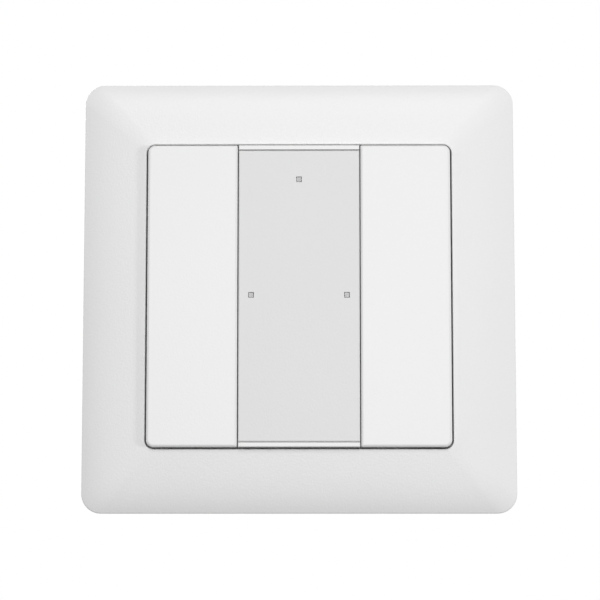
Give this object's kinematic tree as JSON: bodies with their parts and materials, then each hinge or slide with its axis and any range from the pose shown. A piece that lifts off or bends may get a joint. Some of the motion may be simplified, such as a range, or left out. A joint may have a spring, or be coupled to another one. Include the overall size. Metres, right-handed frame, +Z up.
{
  "type": "lighting control push button",
  "caption": "Square wall push button for a lighting control bus: crowned frame, full-height rocker keys either side of a fixed label bar, and small square status lights.",
  "frame": {"origin": "on the wall plane, in the middle of the square frame", "axes": "front faces -Y, +X to the right seen from the front, +Z up, +Y into the wall box"},
  "size_m": [0.086, 0.0344, 0.086],
  "materials": {
    "frame_white": "satin",
    "key_white": "satin",
    "cover_clear": "satin",
    "label_card": "matt card",
    "carrier_grey": "moulded",
    "housing_grey": "moulded",
    "zinc_steel": "zinc plated",
    "board_green": "solder mask",
    "chip_black": "moulded",
    "connector_black": "moulded",
    "contact_brass": "plated",
    "screw_steel": "zinc plated",
    "terminal_red": "moulded",
    "terminal_grey": "moulded",
    "switch_black": "moulded",
    "stem_white": "moulded",
    "button_red": "moulded",
    "guide_clear": "clear",
    "led_white": "lens",
    "led_red": "tinted lens"
  },
  "bodies": {
    "wall_unit": {"cover_frame": "frame_white", "centre_bar": "key_white", "label_cover": "cover_clear", "label_sheet": "label_card", "key_carrier": "carrier_grey", "rear_housing": "housing_grey", "support_ring": "zinc_steel", "main_board": "board_green", "bus_board": "board_green", "processor": "chip_black", "board_header": "connector_black", "board_socket": "connector_black", "header_pins": "contact_brass", "bus_pins": "contact_brass", "housing_screws": "screw_steel", "bus_terminal_red": "terminal_red", "bus_terminal_grey": "terminal_grey", "programming_switch": "switch_black", "programming_led": "led_red", "switch_body_left_upper": "switch_black", "switch_body_left_lower": "switch_black", "switch_body_right_upper": "switch_black", "switch_body_right_lower": "switch_black", "light_guide_top": "guide_clear", "status_led_top": "led_white", "light_guide_left": "guide_clear", "status_led_left": "led_white", "light_guide_right": "guide_clear", "status_led_right": "led_white"},
    "left_rocker": {"left_rocker": "key_white"},
    "right_rocker": {"right_rocker": "key_white"},
    "programming_button": {"programming_button": "button_red"},
    "switch_stem_left_upper": {"switch_stem_left_upper": "stem_white"},
    "switch_stem_left_lower": {"switch_stem_left_lower": "stem_white"},
    "switch_stem_right_upper": {"switch_stem_right_upper": "stem_white"},
    "switch_stem_right_lower": {"switch_stem_right_lower": "stem_white"}
  },
  "joints": [
    {"name": "left_rocker_tilt", "type": "hinge", "parent": "wall_unit", "child": "left_rocker", "pos_m": [-0.02114, -0.0064, 0], "axis": [1, 0, 0], "range_deg": [-1.5, 1.5], "stiffness_Nm_per_rad": 1},
    {"name": "left_upper_stem_slide", "type": "slide", "parent": "wall_unit", "child": "switch_stem_left_upper", "axis": [0, -1, 0], "range_m": [-0.00053, 0.00053]},
    {"name": "left_lower_stem_slide", "type": "slide", "parent": "wall_unit", "child": "switch_stem_left_lower", "axis": [0, -1, 0], "range_m": [-0.00053, 0.00053]},
    {"name": "right_rocker_tilt", "type": "hinge", "parent": "wall_unit", "child": "right_rocker", "pos_m": [0.02114, -0.0064, 0], "axis": [1, 0, 0], "range_deg": [-1.5, 1.5], "stiffness_Nm_per_rad": 1},
    {"name": "right_upper_stem_slide", "type": "slide", "parent": "wall_unit", "child": "switch_stem_right_upper", "axis": [0, -1, 0], "range_m": [-0.00053, 0.00053]},
    {"name": "right_lower_stem_slide", "type": "slide", "parent": "wall_unit", "child": "switch_stem_right_lower", "axis": [0, -1, 0], "range_m": [-0.00053, 0.00053]},
    {"name": "programming_button_press", "type": "slide", "parent": "wall_unit", "child": "programming_button", "axis": [0, -1, 0], "range_m": [0, 0.0004], "stiffness_N_per_m": 1000}
  ],
  "couplings": [
    {"joint": "left_upper_stem_slide", "follows": "left_rocker_tilt", "m_per_rad": 0.02},
    {"joint": "left_lower_stem_slide", "follows": "left_rocker_tilt", "m_per_rad": -0.02},
    {"joint": "right_upper_stem_slide", "follows": "right_rocker_tilt", "m_per_rad": 0.02},
    {"joint": "right_lower_stem_slide", "follows": "right_rocker_tilt", "m_per_rad": -0.02}
  ]
}
